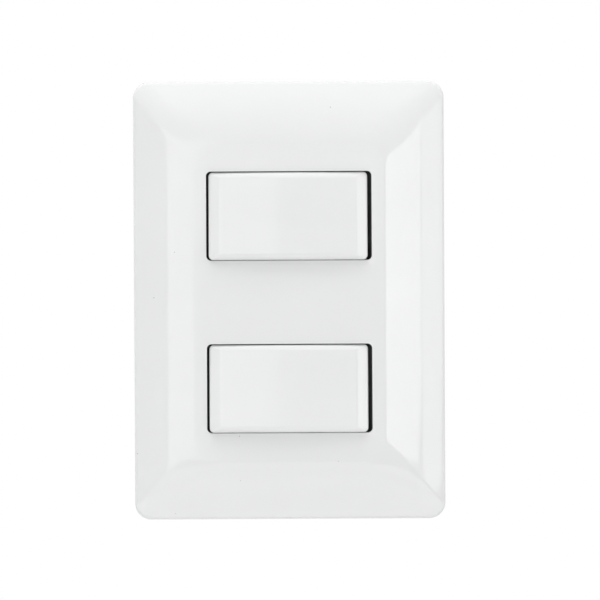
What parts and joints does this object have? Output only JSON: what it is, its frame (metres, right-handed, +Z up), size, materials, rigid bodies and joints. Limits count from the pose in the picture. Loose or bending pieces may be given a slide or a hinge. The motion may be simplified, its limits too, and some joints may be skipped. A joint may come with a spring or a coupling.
{
  "type": "light switch",
  "caption": "Wall light switch: a white clip-on cover plate with a domed border over a mounting strap that carries rocker switches with see-saw contacts.",
  "frame": {"origin": "wall plane, midway between the two slots for the wall box's screws", "axes": "+X right as seen from the front, +Y into the wall, +Z up the wall; the front faces -Y"},
  "size_m": [0.085, 0.0349, 0.12],
  "materials": {
    "white_gloss": "glossy white moulded plastic with a fine ripple",
    "strap_grey": "light grey moulded plastic, fine matt texture",
    "black_moulding": "black moulded plastic, satin",
    "natural_nylon": "natural nylon, satin",
    "spring_steel": "drawn spring wire",
    "brass": "stamped brass strip",
    "silver_contact": "turned silver contact rivet",
    "plated_steel": "zinc-plated steel"
  },
  "bodies": {
    "switch_body": {"cover_plate": "white_gloss", "mounting_bracket": "strap_grey", "upper_switch_housing": "black_moulding", "upper_rear_base": "black_moulding", "upper_fixed_contact": "silver_contact", "upper_common_terminal": "brass", "upper_load_terminal": "brass", "upper_terminal_screws": "plated_steel", "upper_clamp_plates": "plated_steel", "lower_switch_housing": "black_moulding", "lower_rear_base": "black_moulding", "lower_fixed_contact": "silver_contact", "lower_common_terminal": "brass", "lower_load_terminal": "brass", "lower_terminal_screws": "plated_steel", "lower_clamp_plates": "plated_steel"},
    "upper_rocker": {"upper_rocker": "white_gloss", "upper_plunger_spring": "spring_steel"},
    "upper_plunger": {"upper_plunger": "natural_nylon"},
    "upper_contact_lever": {"upper_contact_lever": "brass", "upper_moving_contact": "silver_contact"},
    "lower_rocker": {"lower_rocker": "white_gloss", "lower_plunger_spring": "spring_steel"},
    "lower_plunger": {"lower_plunger": "natural_nylon"},
    "lower_contact_lever": {"lower_contact_lever": "brass", "lower_moving_contact": "silver_contact"}
  },
  "joints": [
    {"name": "upper_rocker_tilt", "type": "hinge", "parent": "switch_body", "child": "upper_rocker", "pos_m": [0, -0.0072, 0.02365], "axis": [1, 0, 0], "range_deg": [0, 9]},
    {"name": "upper_plunger_slide", "type": "slide", "parent": "upper_rocker", "child": "upper_plunger", "axis": [0, -0.9969, 0.0785], "range_m": [0, 0.0008], "stiffness_N_per_m": 400, "springref_m": -0.002, "deforming": ["upper_plunger_spring"]},
    {"name": "upper_lever_tilt", "type": "hinge", "parent": "switch_body", "child": "upper_contact_lever", "pos_m": [0, 0.00815, 0.02365], "axis": [1, 0, 0], "range_deg": [-14, 0]},
    {"name": "lower_rocker_tilt", "type": "hinge", "parent": "switch_body", "child": "lower_rocker", "pos_m": [0, -0.0072, -0.02365], "axis": [1, 0, 0], "range_deg": [0, 9]},
    {"name": "lower_plunger_slide", "type": "slide", "parent": "lower_rocker", "child": "lower_plunger", "axis": [0, -0.9969, 0.0785], "range_m": [0, 0.0008], "stiffness_N_per_m": 400, "springref_m": -0.002, "deforming": ["lower_plunger_spring"]},
    {"name": "lower_lever_tilt", "type": "hinge", "parent": "switch_body", "child": "lower_contact_lever", "pos_m": [0, 0.00815, -0.02365], "axis": [1, 0, 0], "range_deg": [-14, 0]}
  ],
  "couplings": [
    {"joint": "upper_lever_tilt", "follows": "upper_rocker_tilt", "ratio": -1.5555},
    {"joint": "lower_lever_tilt", "follows": "lower_rocker_tilt", "ratio": -1.5555}
  ]
}
